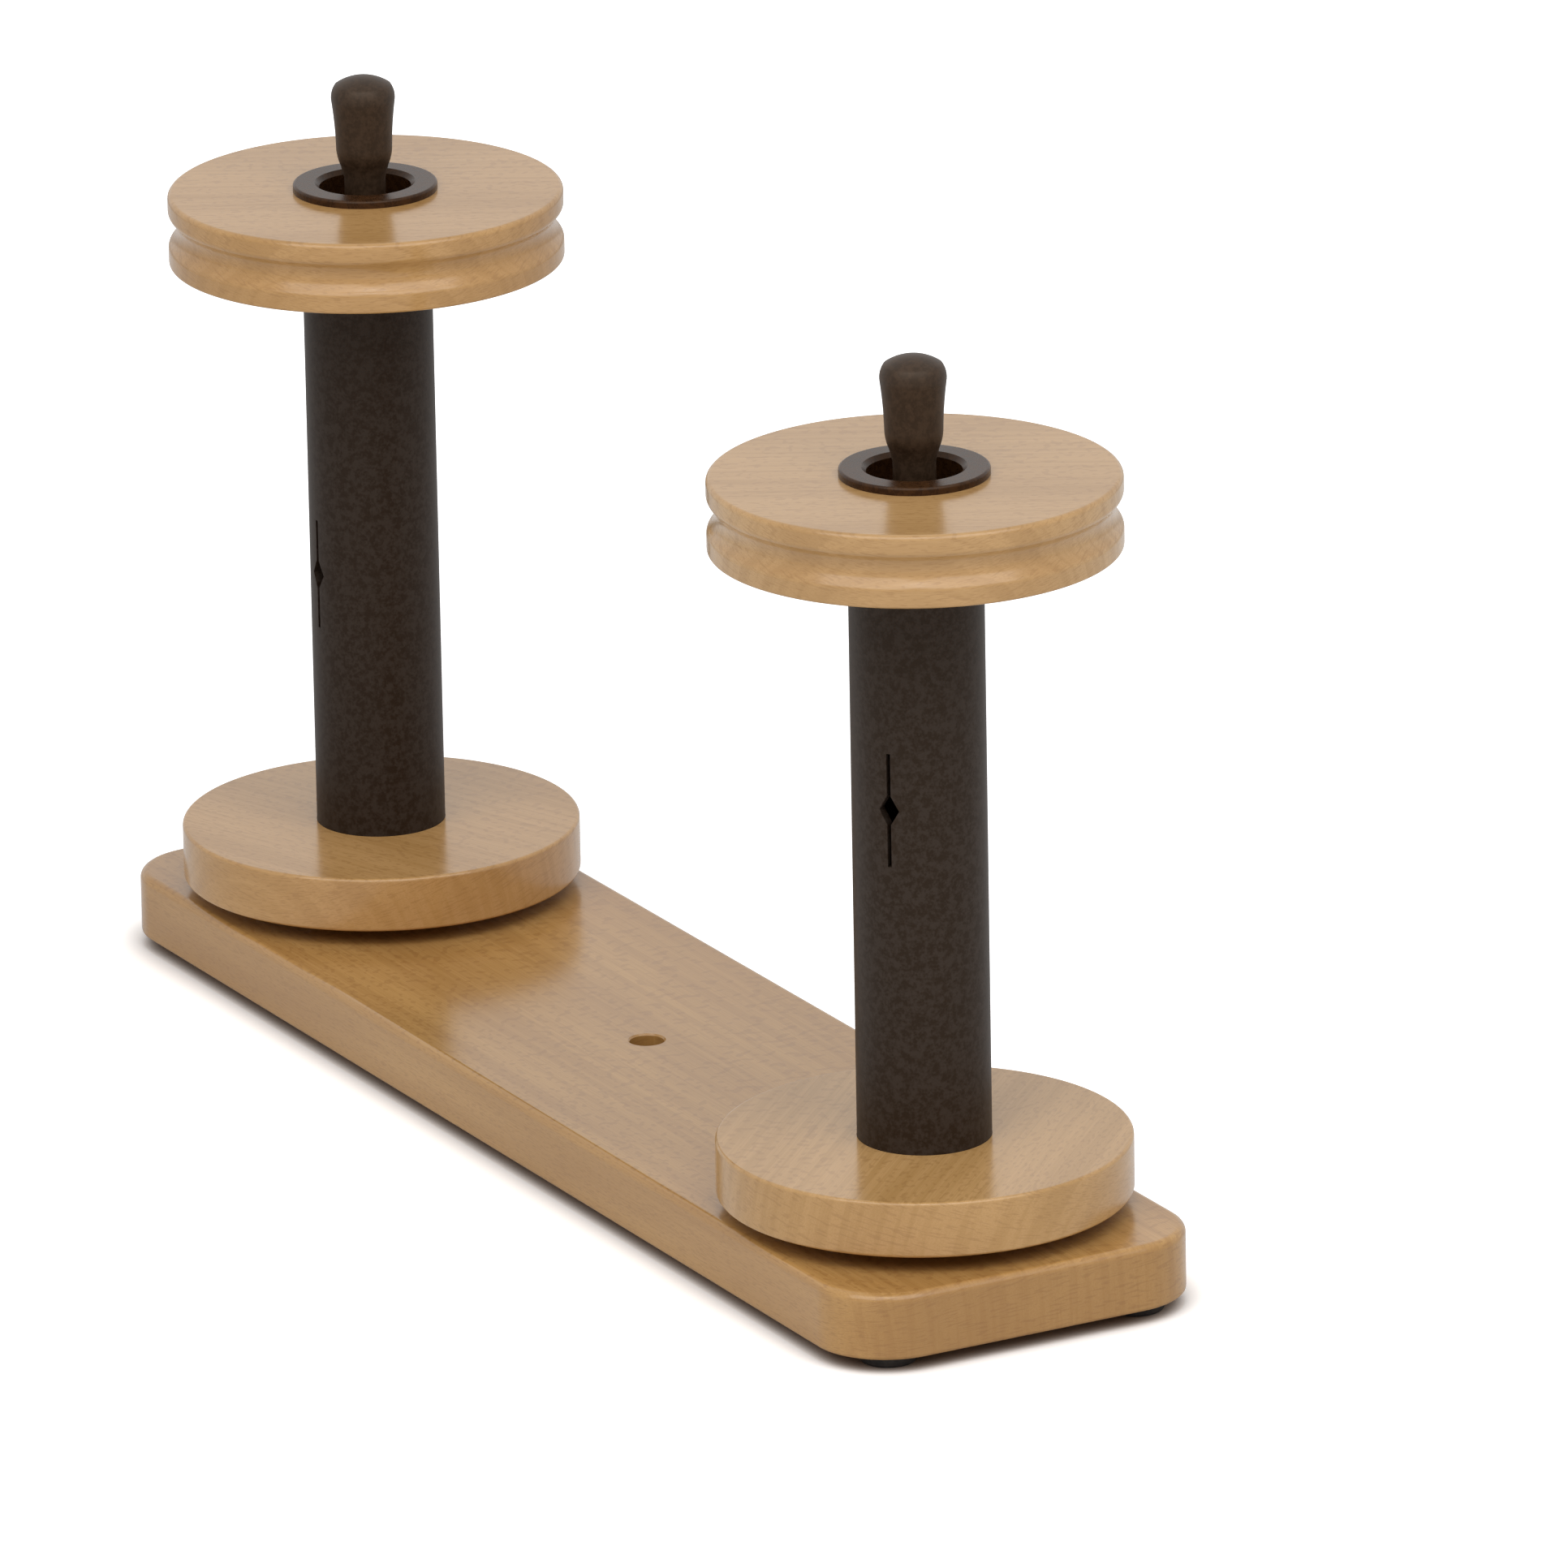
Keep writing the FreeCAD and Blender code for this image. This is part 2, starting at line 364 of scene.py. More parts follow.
@dataclass(frozen=True)
class DarkPlastic:
    """Brown-black plastic with a fine matt skin, as extruded or moulded.

    The skin breaks up the gloss into a soft sheen, mottled with grey where it is rubbed.
    """

    name: str
    body_tone: str
    worn_tone: str
    roughness: float
    specular: float
    roughness_spread: float = 0.06
    gloss_tone: str = "#FFEEDD"
    # A real skin is finer. It is drawn coarser, so that it shows.
    skin_grain: float = 0.5 * MM
    skin_relief: float = 0.03 * MM
    skin_strength: float = 0.3
    wear_patch: float = 2.4 * MM
    wear_from: float = 0.4
    wear_to: float = 0.6

    def build(self) -> Material:
        """Make the material.

        Returns:
            The finished material.
        """
        material, tree = new_material(self.name)
        place = put(tree, "ShaderNodeTexCoord").outputs["Object"]
        skin = put(
            tree,
            "ShaderNodeTexNoise",
            {"Vector": place, "Scale": 1 / self.skin_grain, "Detail": 2.0},
        )
        patches = put(
            tree,
            "ShaderNodeTexNoise",
            {"Vector": place, "Scale": 1 / self.wear_patch, "Detail": 2.0, "Roughness": 0.85},
        )
        worn = put(
            tree,
            "ShaderNodeMapRange",
            {"Value": patches.outputs["Fac"], "From Min": self.wear_from, "From Max": self.wear_to},
        )
        colour = put(
            tree,
            "ShaderNodeMix",
            {
                "Factor": worn.outputs["Result"],
                "A": linear(self.body_tone),
                "B": linear(self.worn_tone),
            },
            data_type="RGBA",
        )
        gloss = put(
            tree,
            "ShaderNodeMapRange",
            {
                "Value": patches.outputs["Fac"],
                "To Min": self.roughness - self.roughness_spread,
                "To Max": self.roughness + self.roughness_spread,
            },
        )
        relief = put(
            tree,
            "ShaderNodeBump",
            {
                "Height": skin.outputs["Fac"],
                "Strength": self.skin_strength,
                "Distance": self.skin_relief,
            },
        )
        plastic = put(
            tree,
            "ShaderNodeBsdfPrincipled",
            {
                "Base Color": colour.outputs["Result"],
                "Roughness": gloss.outputs["Result"],
                "Normal": relief.outputs["Normal"],
                "Specular IOR Level": self.specular,
                "Specular Tint": linear(self.gloss_tone),
            },
        )
        put(tree, "ShaderNodeOutputMaterial", {"Surface": plastic.outputs["BSDF"]})
        return material


@dataclass(frozen=True)
class DrawnSteel:
    """Bright drawn steel rod: a pale grey metal with fine lines along it."""

    name: str = "drawn_steel"
    tone: str = "#B9B8B4"
    smoothest: float = 0.18
    roughest: float = 0.38
    # Real draw lines are finer. They are drawn coarser, so that they show.
    line_width: float = 0.25 * MM
    line_length: float = 30 * MM

    def build(self) -> Material:
        """Make the material.

        Returns:
            The finished material.
        """
        material, tree = new_material(self.name)
        place = put(tree, "ShaderNodeTexCoord").outputs["Object"]
        scales = (1 / self.line_width, 1 / self.line_width, 1 / self.line_length)
        stretched = put(tree, "ShaderNodeVectorMath", {0: place, 1: scales}, operation="MULTIPLY")
        lines = put(
            tree, "ShaderNodeTexNoise", {"Vector": stretched.outputs["Vector"], "Scale": 1.0}
        )
        gloss = put(
            tree,
            "ShaderNodeMapRange",
            {"Value": lines.outputs["Fac"], "To Min": self.smoothest, "To Max": self.roughest},
        )
        metal = put(
            tree,
            "ShaderNodeBsdfPrincipled",
            {
                "Base Color": linear(self.tone),
                "Metallic": 1.0,
                "Roughness": gloss.outputs["Result"],
            },
        )
        put(tree, "ShaderNodeOutputMaterial", {"Surface": metal.outputs["BSDF"]})
        return material


@dataclass(frozen=True)
class PressedFelt:
    """Dark pressed wool felt: matt, with loose fibres lying every way."""

    name: str = "pressed_felt"
    tone: str = "#2E2A27"
    fibre_tone: str = "#4A4540"
    # Real wool fibres are finer. They are drawn as small tufts.
    fibre_size: float = 0.35 * MM
    relief: float = 0.2 * MM
    relief_strength: float = 0.8
    roughness: float = 0.95
    sheen: float = 0.3

    def build(self) -> Material:
        """Make the material.

        Returns:
            The finished material.
        """
        material, tree = new_material(self.name)
        place = put(tree, "ShaderNodeTexCoord").outputs["Object"]
        fibres = put(
            tree,
            "ShaderNodeTexNoise",
            {"Vector": place, "Scale": 1 / self.fibre_size, "Detail": 5.0, "Distortion": 1.5},
        )
        colour = put(
            tree,
            "ShaderNodeMix",
            {"Factor": fibres.outputs["Fac"], "A": linear(self.tone), "B": linear(self.fibre_tone)},
            data_type="RGBA",
        )
        relief = put(
            tree,
            "ShaderNodeBump",
            {
                "Height": fibres.outputs["Fac"],
                "Strength": self.relief_strength,
                "Distance": self.relief,
            },
        )
        felt = put(
            tree,
            "ShaderNodeBsdfPrincipled",
            {
                "Base Color": colour.outputs["Result"],
                "Roughness": self.roughness,
                "Normal": relief.outputs["Normal"],
                "Sheen Weight": self.sheen,
            },
        )
        put(tree, "ShaderNodeOutputMaterial", {"Surface": felt.outputs["BSDF"]})
        return material


@dataclass(frozen=True)
class MouldedRubber:
    """Black moulded rubber of the feet: matt and slightly dusty."""

    name: str = "moulded_rubber"
    tone: str = "#1C1917"
    dust_tone: str = "#3A3531"
    dust_patch: float = 2.5 * MM
    dust_from: float = 0.45
    dust_to: float = 0.8
    roughness: float = 0.7
    ior: float = 1.52

    def build(self) -> Material:
        """Make the material.

        Returns:
            The finished material.
        """
        material, tree = new_material(self.name)
        place = put(tree, "ShaderNodeTexCoord").outputs["Object"]
        dust = put(
            tree,
            "ShaderNodeTexNoise",
            {"Vector": place, "Scale": 1 / self.dust_patch, "Detail": 6.0},
        )
        mask = put(
            tree,
            "ShaderNodeMapRange",
            {"Value": dust.outputs["Fac"], "From Min": self.dust_from, "From Max": self.dust_to},
        )
        colour = put(
            tree,
            "ShaderNodeMix",
            {"Factor": mask.outputs["Result"], "A": linear(self.tone), "B": linear(self.dust_tone)},
            data_type="RGBA",
        )
        rubber = put(
            tree,
            "ShaderNodeBsdfPrincipled",
            {"Base Color": colour.outputs["Result"], "Roughness": self.roughness, "IOR": self.ior},
        )
        put(tree, "ShaderNodeOutputMaterial", {"Surface": rubber.outputs["BSDF"]})
        return material


# ---- making shapes


@dataclass(frozen=True)
class Corner:
    """A corner of a turned outline, with the stretch that leads to it.

    The rounding is how far back from the corner its round starts. The bulge is how far the
    stretch from the corner before stands out from a straight line, to its left.
    """

    radius: float
    height: float
    rounding: float = 0.0
    bulge: float = 0.0


def arc_between(start: Vector, end: Vector, bulge: float) -> list[Vector]:
    """Points of the arc between two points, without the two themselves.

    Args:
        start: where the arc starts, in the plane Y = 0.
        end: where it ends, lower down.
        bulge: how far its middle stands out from the chord, away from the axis if positive.

    Returns:
        Evenly spaced points, which leave a little room at both ends.
    """
    chord = end - start
    half = chord.length / 2
    radius = (half ** 2 + bulge ** 2) / (2 * abs(bulge))
    way = math.copysign(1, bulge)
    outward = Vector((-chord.z, 0, chord.x)).normalized() * way
    centre = start + chord / 2 + outward * (abs(bulge) - radius)
    sweep = 2 * math.asin(half / radius)
    points = []
    for step in range(1, ARC_STEPS):
        angle = way * sweep * step / ARC_STEPS
        points.append(centre + Matrix.Rotation(angle, 3, "Y") @ (start - centre))
    return points


def object_from(name: str, shape: BMesh) -> Object:
    """Turn a bmesh into an object at the origin.

    Args:
        name: the object's name.
        shape: the bmesh, which is freed.

    Returns:
        The object, linked to the scene.
    """
    mesh = bpy.data.meshes.new(name)
    shape.to_mesh(mesh)
    shape.free()
    piece = bpy.data.objects.new(name, mesh)
    bpy.context.scene.collection.objects.link(piece)
    return piece


def shade(piece: Object) -> None:
    """Shade a piece smooth up to its sharp edges, with flat faces kept flat.

    Args:
        piece: the object to shade.
    """
    piece.data.shade_smooth()
    piece.data.set_sharp_from_angle(angle=SMOOTH_LIMIT)
    weighted = piece.modifiers.new("flat_faces", "WEIGHTED_NORMAL")
    weighted.keep_sharp = True


def bevel(
    shape: BMesh, parts: Sequence[BMVert | BMEdge], offset: float, steps: int, affect: str
) -> None:
    """Round off corners or edges of a shape.

    Args:
        shape: the bmesh.
        parts: the vertices or edges that are rounded.
        offset: how far back from them the round starts.
        steps: how many facets it has.
        affect: VERTICES or EDGES.
    """
    bmesh.ops.bevel(
        shape,
        geom=parts,
        offset=offset,
        segments=steps,
        profile=0.5,
        affect=affect,
        material=-1,
    )


def turn(name: str, outline: Sequence[Corner], axis: Vector, steps: int = TURN_STEPS) -> Object:
    """Turn a piece on the lathe from its outline.

    Args:
        name: the object's name.
        outline: the corners of half its section; one that starts on the axis ends there too.
        axis: a point on the upright axis.
        steps: how many facets go round it.

    Returns:
        The turned object.
    """
    shape = bmesh.new()
    corners: list[tuple[BMVert, float]] = []
    chain: list[BMVert] = []
    for index, corner in enumerate(outline):
        here = Vector((corner.radius, 0, corner.height))
        if corner.bulge and index:
            before = outline[index - 1]
            start = Vector((before.radius, 0, before.height))
            chain += [shape.verts.new(point) for point in arc_between(start, here, corner.bulge)]
        chain.append(shape.verts.new(here))
        if corner.rounding:
            corners.append((chain[-1], corner.rounding))
    followers = chain[1:] + (chain[:1] if outline[0].radius else [])
    for start_vertex, end_vertex in zip(chain, followers):
        shape.edges.new((start_vertex, end_vertex))
    for vertex, rounding in corners:
        bevel(shape, [vertex], rounding, ROUND_STEPS, "VERTICES")
    bmesh.ops.spin(
        shape,
        geom=shape.verts[:] + shape.edges[:],
        cent=(0, 0, 0),
        axis=(0, 0, 1),
        angle=FULL_TURN,
        steps=steps,
        use_merge=True,
    )
    bmesh.ops.remove_doubles(shape, verts=shape.verts, dist=SAME_POINT)
    bmesh.ops.recalc_face_normals(shape, faces=shape.faces)
    bmesh.ops.translate(shape, verts=shape.verts, vec=(axis.x, axis.y, 0))
    return object_from(name, shape)


def block(low: Vector, high: Vector) -> BMesh:
    """Make a plain block between two corners.

    Args:
        low: its lowest corner.
        high: its highest corner.

    Returns:
        The block's bmesh.
    """
    shape = bmesh.new()
    bmesh.ops.create_cube(shape, size=1.0)
    bmesh.ops.scale(shape, verts=shape.verts, vec=high - low)
    bmesh.ops.translate(shape, verts=shape.verts, vec=(low + high) / 2)
    return shape


def carve(piece: Object, cutters: Sequence[Object]) -> None:
    """Cut other objects out of a piece for good, and remove them.

    Args:
        piece: the object that is cut.
        cutters: the objects that are cut out of it.
    """
    for cutter in cutters:
        cut = piece.modifiers.new("cut", "BOOLEAN")
        cut.operation = "DIFFERENCE"
        cut.solver = "EXACT"
        cut.object = cutter
    graph = bpy.context.evaluated_depsgraph_get()
    carved: Mesh = bpy.data.meshes.new_from_object(piece.evaluated_get(graph))
    piece.modifiers.clear()
    piece.data = carved
    for cutter in cutters:
        bpy.data.objects.remove(cutter)


def dress(piece: Object, material: Material, node: str, body: str) -> None:
    """Give a finished piece its shading, material and body, and hide the CAD node that it replaces.

    Args:
        piece: the object.
        material: its material.
        node: the CAD node that it replaces.
        body: the CAD body that it rides on.
    """
    shade(piece)
    piece.data.materials.clear()
    piece.data.materials.append(material)
    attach(piece, body)
    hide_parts(node)
    log.info("%s: %d faces, rides on %s", piece.name, len(piece.data.polygons), body)


def axis_of(node: str) -> Vector:
    """Find the middle of a CAD node's box, which is on its upright axis where it is round."""
    low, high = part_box(node)
    return (low + high) / 2


# ---- the board


@dataclass(frozen=True)
class Base:
    """The board, its four feet, and the felt washers that lie on it."""

    corner_radius: float = 22.5 * MM
    top_round: float = 2.5 * MM
    bottom_round: float = 1.2 * MM
    hole_radius: float = 5.08 * MM
    hole_depth: float = 14 * MM
    hole_chamfer: float = 0.5 * MM
    foot_taper: float = 1.0 * MM
    foot_edge: float = 0.8 * MM
    felt_hole_radius: float = 5.5 * MM
    felt_edge: float = 0.5 * MM
    pith_below: float = 8 * MM
    tones: BeechTones = BeechTones("#BD9257", "#986D3A", "#835931", "#966E3C")
    overcut: float = 2 * MM
    corner_steps: int = 24

    def board(self) -> None:
        """Make the board with its round corners, eased edges and three spindle holes."""
        low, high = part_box("base_board")
        shape = block(low, high)
        uprights = [e for e in shape.edges if abs(e.verts[0].co.z - e.verts[1].co.z) > SAME_POINT]
        bevel(shape, uprights, self.corner_radius, self.corner_steps, "EDGES")
        for height, rounding in ((low.z, self.bottom_round), (high.z, self.top_round)):
            rim = [
                edge
                for edge in shape.edges
                if all(abs(vertex.co.z - height) < SAME_POINT for vertex in edge.verts)
            ]
            bevel(shape, rim, rounding, ROUND_STEPS, "EDGES")
        bmesh.ops.recalc_face_normals(shape, faces=shape.faces)
        piece = object_from("beech_board", shape)
        middle = (low + high) / 2
        places = [axis_of("left_spindle_rod"), middle, axis_of("right_spindle_rod")]
        carve(piece, [self.hole(place, high.z) for place in places])
        beech = LacqueredBeech("lacquered_beech_board", middle, self.pith_below, self.tones).build()
        dress(piece, beech, "base_board", "base")

    def hole(self, place: Vector, top: float) -> Object:
        """Make the tool shape of one spindle hole.

        Args:
            place: a point on the hole's axis.
            top: the height of the board's top face.

        Returns:
            The cutter.
        """
        flare = self.hole_chamfer + self.overcut
        outline = [
            Corner(0, top - self.hole_depth),
            Corner(self.hole_radius, top - self.hole_depth),
            Corner(self.hole_radius, top - self.hole_chamfer),
            Corner(self.hole_radius + flare, top + self.overcut),
            Corner(0, top + self.overcut),
        ]
        return turn("hole_cutter", outline, place, steps=SMALL_TURN_STEPS)

    def feet(self) -> None:
        """Make the four tapered rubber feet."""
        rubber = MouldedRubber().build()
        for side in Side:
            for row in ("front", "back"):
                node = f"rubber_foot_{side.value}_{row}"
                low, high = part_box(node)
                radius = (high.x - low.x) / 2
                outline = [
                    Corner(0, low.z),
                    Corner(radius - self.foot_taper, low.z, rounding=self.foot_edge),
                    Corner(radius, high.z),
                    Corner(0, high.z),
                ]
                name = f"foot_{side.value}_{row}"
                foot = turn(name, outline, axis_of(node), steps=FOOT_TURN_STEPS)
                dress(foot, rubber, node, "base")

    def washers(self) -> None:
        """Make the two felt washers, with soft edges."""
        felt = PressedFelt().build()
        for side in Side:
            node = f"{side.value}_felt_washer"
            low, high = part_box(node)
            radius = (high.x - low.x) / 2
            outline = [
                Corner(self.felt_hole_radius, low.z),
                Corner(radius, low.z, rounding=self.felt_edge),
                Corner(radius, high.z, rounding=self.felt_edge),
                Corner(self.felt_hole_radius, high.z),
            ]
            washer = turn(f"{side.value}_felt_ring", outline, axis_of(node), steps=SMALL_TURN_STEPS)
            dress(washer, felt, node, "base")

    def build(self) -> None:
        """Make every piece of the base."""
        self.board()
        self.feet()
        self.washers()


# ---- a bobbin


@dataclass(frozen=True)
class Bobbin:
    """One bobbin: two turned beech ends, a core tube and a moulded bush in each end."""

    side: Side
    lower_grain: float
    upper_grain: float
    leader_angle: float
    leader_from_bottom: bool
    tube_tone: str
    tube_worn_tone: str
    upper_tones: BeechTones = BeechTones()
    lower_tones: BeechTones = BeechTones()
    lower_round: float = 1.0 * MM
    upper_top_round: float = 1.5 * MM
    upper_bottom_round: float = 0.8 * MM
    tube_seat_radius: float = 19.25 * MM
    bush_seat_radius: float = 15.55 * MM
    tube_wall: float = 3 * MM
    groove_drop: float = 5.9 * MM
    groove_width: float = 9.4 * MM
    groove_depth: float = 2.4 * MM
    groove_lip: float = 1.0 * MM
    leader_from_end: float = 85.4 * MM
    diamond_width: float = 6.2 * MM
    diamond_height: float = 10.4 * MM
    slit_width: float = 1.2 * MM
    slit_height: float = 33.4 * MM
    bush_plate: float = 2.3 * MM
    bush_plate_round: float = 0.8 * MM
    spigot_radius: float = 15.5 * MM
    recess_radius: float = 13.6 * MM
    recess_depth: float = 9 * MM
    recess_mouth: float = 1.3 * MM
    recess_floor_round: float = 0.8 * MM
    web: float = 3 * MM
    hub_radius: float = 9 * MM
    hub_length: float = 8 * MM
    bore_radius: float = 5.08 * MM
    rib_count: int = 6
    rib_thickness: float = 1.6 * MM
    rib_height: float = 5 * MM
    pith_below: float = 35 * MM

    @property
    def body(self) -> str:
        """The CAD body of this bobbin."""
        return f"{self.side.value}_bobbin"

    def node(self, part: str) -> str:
        """The CAD node of one of this bobbin's parts."""
        return f"{self.side.value}_{part}"

    def beech(self, end: BobbinEnd, grain: float, tones: BeechTones) -> Material:
        """Make the beech of one end, cut from its own place in the log.

        Args:
            end: which end it is.
            grain: the direction of the grain.
            tones: the tones of its wood.

        Returns:
            The material.
        """
        middle = axis_of(self.node(f"{end.value}_flange"))
        name = f"lacquered_beech_{self.side.value}_{end.value}"
        return LacqueredBeech(name, middle, self.pith_below, tones, grain_angle=grain).build()

    def lower_end(self) -> None:
        """Turn the plain end that the bobbin stands on."""
        node = self.node("lower_flange")
        low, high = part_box(node)
        radius = (high.x - low.x) / 2
        tube_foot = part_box(self.node("core_tube"))[0].z
        outline = [
            Corner(self.bush_seat_radius, low.z),
            Corner(radius, low.z, rounding=self.lower_round),
            Corner(radius, high.z, rounding=self.lower_round),
            Corner(self.tube_seat_radius, high.z),
            Corner(self.tube_seat_radius, tube_foot),
            Corner(self.bush_seat_radius, tube_foot),
        ]
        piece = turn(f"{self.side.value}_plain_end", outline, axis_of(node))
        beech = self.beech(BobbinEnd.LOWER, self.lower_grain, self.lower_tones)
        dress(piece, beech, node, self.body)

    def upper_end(self) -> None:
        """Turn the thicker end with its coved drive groove."""
        node = self.node("upper_flange")
        low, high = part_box(node)
        radius = (high.x - low.x) / 2
        tube_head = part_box(self.node("core_tube"))[1].z
        groove_top = high.z - self.groove_drop
        outline = [
            Corner(self.bush_seat_radius, high.z),
            Corner(radius, high.z, rounding=self.upper_top_round),
            Corner(radius, groove_top, rounding=self.groove_lip),
            Corner(
                radius,
                groove_top - self.groove_width,
                rounding=self.groove_lip,
                bulge=-self.groove_depth,
            ),
            Corner(radius, low.z, rounding=self.upper_bottom_round),
            Corner(self.tube_seat_radius, low.z),
            Corner(self.tube_seat_radius, tube_head),
            Corner(self.bush_seat_radius, tube_head),
        ]
        piece = turn(f"{self.side.value}_grooved_end", outline, axis_of(node))
        beech = self.beech(BobbinEnd.UPPER, self.upper_grain, self.upper_tones)
        dress(piece, beech, node, self.body)

    def leader_cutters(self, tube: str) -> list[Object]:
        """Make the tool shapes of the diamond leader hole and of its fine slit.

        Args:
            tube: the core tube's CAD node.

        Returns:
            The two cutters.
        """
        low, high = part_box(tube)
        axis = (low + high) / 2
        radius = (high.x - low.x) / 2
        height = high.z - self.leader_from_end
        if self.leader_from_bottom:
            height = low.z + self.leader_from_end
        # The cutters reach from inside the bore to outside the tube, through one wall.
        inside = radius - 2 * self.tube_wall
        depth = 3 * self.tube_wall
        diamond = bmesh.new()
        bmesh.ops.create_circle(diamond, cap_ends=True, segments=4, radius=0.5)
        across = Vector((self.diamond_width, self.diamond_height, 1))
        bmesh.ops.scale(diamond, verts=diamond.verts, vec=across)
        walls = bmesh.ops.extrude_face_region(diamond, geom=diamond.faces[:])
        moved = [item for item in walls["geom"] if isinstance(item, BMVert)]
        bmesh.ops.translate(diamond, verts=moved, vec=(0, 0, depth))
        half = Vector((self.slit_width / 2, self.slit_height / 2, 0))
        slit = block(-half, half + Vector((0, 0, depth)))
        upright = Matrix(((0, 0, 1), (1, 0, 0), (0, 1, 0))).to_4x4()
        outwards = Matrix.Rotation(self.leader_angle, 4, "Z")
        start = Matrix.Translation((inside, 0, 0))
        place = Matrix.Translation((axis.x, axis.y, height)) @ outwards @ start @ upright
        cutters = []
        for name, shape in (("diamond_cutter", diamond), ("slit_cutter", slit)):
            bmesh.ops.transform(shape, matrix=place, verts=shape.verts)
            bmesh.ops.recalc_face_normals(shape, faces=shape.faces)
            cutters.append(object_from(name, shape))
        return cutters

    def tube(self) -> None:
        """Make the core tube with its leader hole."""
        node = self.node("core_tube")
        low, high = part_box(node)
        radius = (high.x - low.x) / 2
        inner = radius - self.tube_wall
        outline = [
            Corner(inner, low.z),
            Corner(radius, low.z),
            Corner(radius, high.z),
            Corner(inner, high.z),
        ]
        piece = turn(f"{self.side.value}_yarn_core", outline, axis_of(node))
        carve(piece, self.leader_cutters(node))
        plastic = DarkPlastic(
            f"extruded_core_plastic_{self.side.value}",
            self.tube_tone,
            self.tube_worn_tone,
            roughness=0.5,
            specular=0.2,
        ).build()
        dress(piece, plastic, node, self.body)

    def bush(self, part: str, up: int, plastic: Material) -> None:
        """Make one flanged bush.

        Args:
            part: the CAD part's name.
            up: 1 where its open face looks up, -1 where it looks down.
            plastic: its material.
        """
        node = self.node(part)
        low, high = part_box(node)
        face = high.z if up > 0 else low.z
        plate_radius = (high.x - low.x) / 2
        web_inside = self.recess_depth + self.web
        skirt = web_inside + self.rib_height
        # The heights in the section are depths below the open face.
        section = [
            Corner(self.recess_radius + self.recess_mouth, 0),
            Corner(plate_radius, 0, rounding=self.bush_plate_round),
            Corner(plate_radius, self.bush_plate),
            Corner(self.spigot_radius, self.bush_plate),
            Corner(self.spigot_radius, skirt),
            Corner(self.recess_radius, skirt),
            Corner(self.recess_radius, web_inside),
            Corner(self.hub_radius, web_inside),
            Corner(self.hub_radius, web_inside + self.hub_length),
            Corner(self.bore_radius, web_inside + self.hub_length),
            Corner(self.bore_radius, self.recess_depth),
            Corner(self.recess_radius, self.recess_depth, rounding=self.recess_floor_round),
            Corner(self.recess_radius, self.recess_mouth),
        ]
        outline = [replace(corner, height=face - up * corner.height) for corner in section]
        axis = axis_of(node)
        piece = turn(f"{self.side.value}_{part}_moulding", outline, axis)
        self.add_ribs(piece, axis, face, up)
        dress(piece, plastic, node, self.body)

    def add_ribs(self, piece: Object, axis: Vector, face: float, up: int) -> None:
        """Join the webs that tie a bush's hub to its spigot wall.

        Args:
            piece: the bush.
            axis: a point on its axis.
            face: the height of its open face.
            up: 1 where its open face looks up, -1 where it looks down.
        """
        shape = bmesh.new()
        shape.from_mesh(piece.data)
        inner = (self.bore_radius + self.hub_radius) / 2
        outer = (self.recess_radius + self.spigot_radius) / 2
        near = face - up * (self.recess_depth + self.web / 2)
        far = face - up * (self.recess_depth + self.web + self.rib_height)
        size = Vector((outer - inner, self.rib_thickness, abs(near - far)))
        for index in range(self.rib_count):
            rib = bmesh.ops.create_cube(shape, size=1.0)["verts"]
            bmesh.ops.scale(shape, verts=rib, vec=size)
            bmesh.ops.translate(shape, verts=rib, vec=((inner + outer) / 2, 0, (near + far) / 2))
            turned = Matrix.Rotation(FULL_TURN * index / self.rib_count, 4, "Z")
            place = Matrix.Translation((axis.x, axis.y, 0)) @ turned
            bmesh.ops.transform(shape, matrix=place, verts=rib)
        shape.to_mesh(piece.data)
        shape.free()

    def build(self, bush_plastic: Material) -> None:
        """Make every piece of the bobbin.

        Args:
            bush_plastic: the material of both bushes.
        """
        self.lower_end()
        self.upper_end()
        self.tube()
        self.bush("top_bush", 1, bush_plastic)
        self.bush("bottom_bush", -1, bush_plastic)


# ---- a spindle


